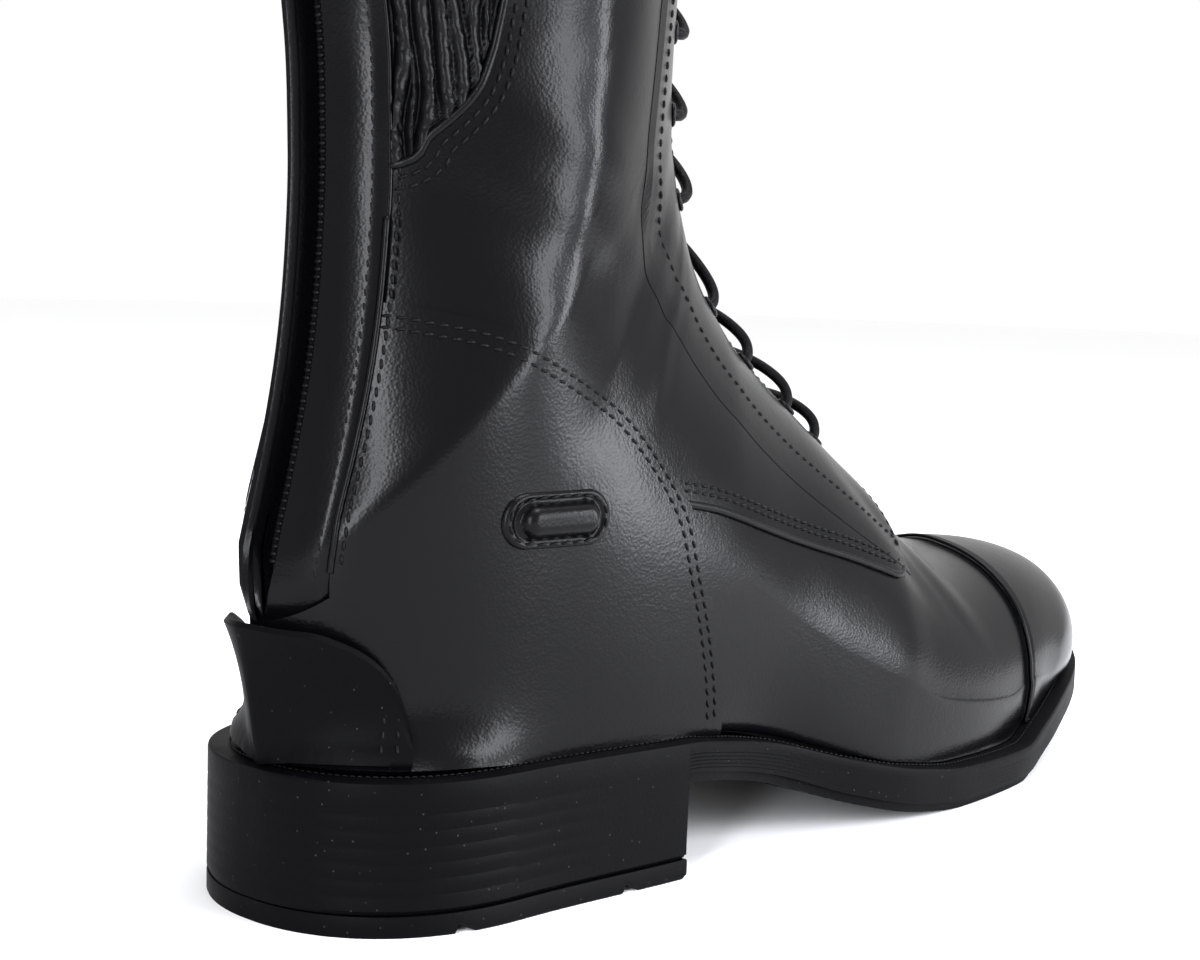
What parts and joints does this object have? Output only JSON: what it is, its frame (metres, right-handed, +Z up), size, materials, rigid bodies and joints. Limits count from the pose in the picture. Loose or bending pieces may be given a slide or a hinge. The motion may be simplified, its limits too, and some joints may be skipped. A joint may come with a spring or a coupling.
{
  "type": "riding boot",
  "caption": "Tall black leather riding boot for the right foot, with back zip, outer elastic gusset, laced instep, toe cap, spur rest and low stacked heel.",
  "frame": {"origin": "on the floor under the middle of the heel", "axes": "+X towards the toe, +Y towards the inner side of the foot, +Z up the leg"},
  "size_m": [0.2959, 0.1082, 0.4622],
  "materials": {
    "leather": "semi-gloss, fine pebbled grain",
    "rubber": "matt",
    "lining": "matt",
    "elastic": "ribbed, matt",
    "cord": "woven, matt",
    "dark_metal": "black, semi-gloss"
  },
  "bodies": {
    "boot": {"outsole": "rubber", "heel_top_lift": "rubber", "insole": "lining", "upper": "leather", "tongue": "leather", "toe_cap": "leather", "counter": "leather", "facing": "leather", "gusset": "elastic", "backstay_outer": "leather", "backstay_inner": "leather", "zip_guard": "leather", "spur_rest": "rubber", "keeper_pad": "leather", "keeper_bar": "leather", "collar_binding": "leather", "zip_tape": "elastic", "zip_chain": "dark_metal", "zip_slider": "dark_metal", "eyelet_outer_1": "dark_metal", "eyelet_inner_1": "dark_metal", "eyelet_outer_2": "dark_metal", "eyelet_inner_2": "dark_metal", "eyelet_outer_3": "dark_metal", "eyelet_inner_3": "dark_metal", "eyelet_outer_4": "dark_metal", "eyelet_inner_4": "dark_metal", "eyelet_outer_5": "dark_metal", "eyelet_inner_5": "dark_metal", "eyelet_outer_6": "dark_metal", "eyelet_inner_6": "dark_metal", "eyelet_outer_7": "dark_metal", "eyelet_inner_7": "dark_metal", "eyelet_outer_8": "dark_metal", "eyelet_inner_8": "dark_metal", "eyelet_outer_9": "dark_metal", "eyelet_inner_9": "dark_metal", "lace_bar_1": "cord", "lace_bar_2": "cord", "lace_bar_3": "cord", "lace_bar_4": "cord", "lace_bar_5": "cord", "lace_bar_6": "cord", "lace_bar_7": "cord", "lace_bar_8": "cord", "lace_bar_9": "cord"},
    "pull": {"zip_pull": "dark_metal"}
  },
  "joints": [
    {"name": "pull_hinge", "type": "hinge", "parent": "boot", "child": "pull", "pos_m": [-0.04642, 0, 0.45174], "axis": [0, 1, 0], "range_deg": [0, 150]}
  ]
}
